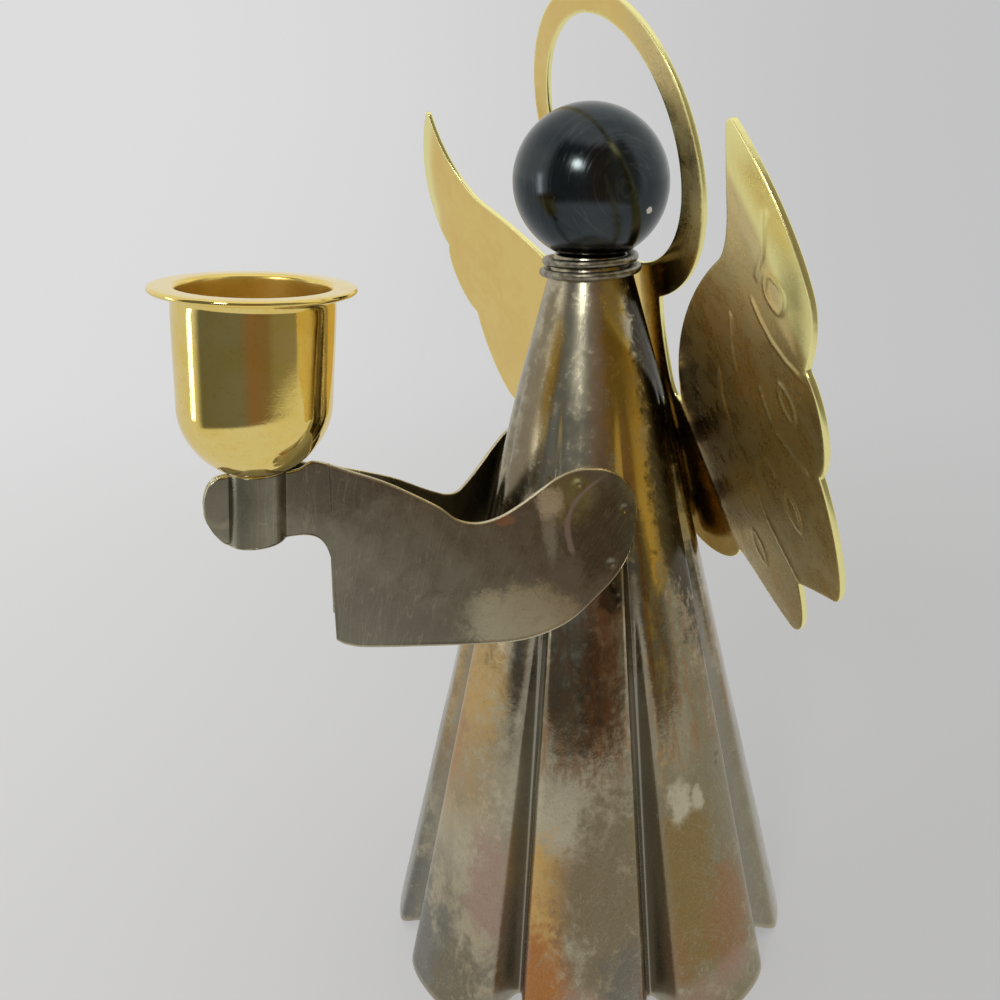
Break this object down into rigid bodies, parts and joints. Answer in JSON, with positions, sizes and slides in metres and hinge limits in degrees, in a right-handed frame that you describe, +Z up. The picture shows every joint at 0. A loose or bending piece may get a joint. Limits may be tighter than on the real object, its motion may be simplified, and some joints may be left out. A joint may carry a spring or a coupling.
{
  "type": "angel candle holder",
  "caption": "Standing sheet-metal angel with a fluted cone robe, ball head, halo and wings, whose joined hands hold a lift-out brass candle cup.",
  "frame": {"origin": "middle of the footprint's bounding box on the table, under the angel", "axes": "+Z up, -Y the way the angel faces and holds out the cup, +X the angel's left"},
  "size_m": [0.1416, 0.1192, 0.191],
  "materials": {
    "robe_silver": "tarnished silver plate, half polished",
    "wire_silver": "tarnished silver wire",
    "ball_iron": "polished and darkened",
    "hardware_steel": "plain",
    "wing_brass": "polished",
    "solder": "dull",
    "arm_silver": "tarnished silver plate, half polished",
    "cup_brass": "polished"
  },
  "bodies": {
    "holder": {"robe": "robe_silver", "neck_wire": "wire_silver", "head_ball": "ball_iron", "head_stud": "hardware_steel", "neck_washer": "hardware_steel", "head_nut": "hardware_steel", "wing_plate": "wing_brass", "wing_solder": "solder", "left_arm": "arm_silver", "right_arm": "arm_silver", "arm_solder": "solder"},
    "cup": {"candle_cup": "cup_brass", "cup_peg": "hardware_steel"}
  },
  "joints": [
    {"name": "cup_lift", "type": "slide", "parent": "holder", "child": "cup", "axis": [0, 0.061, 0.9981], "range_m": [0, 0.03]}
  ]
}
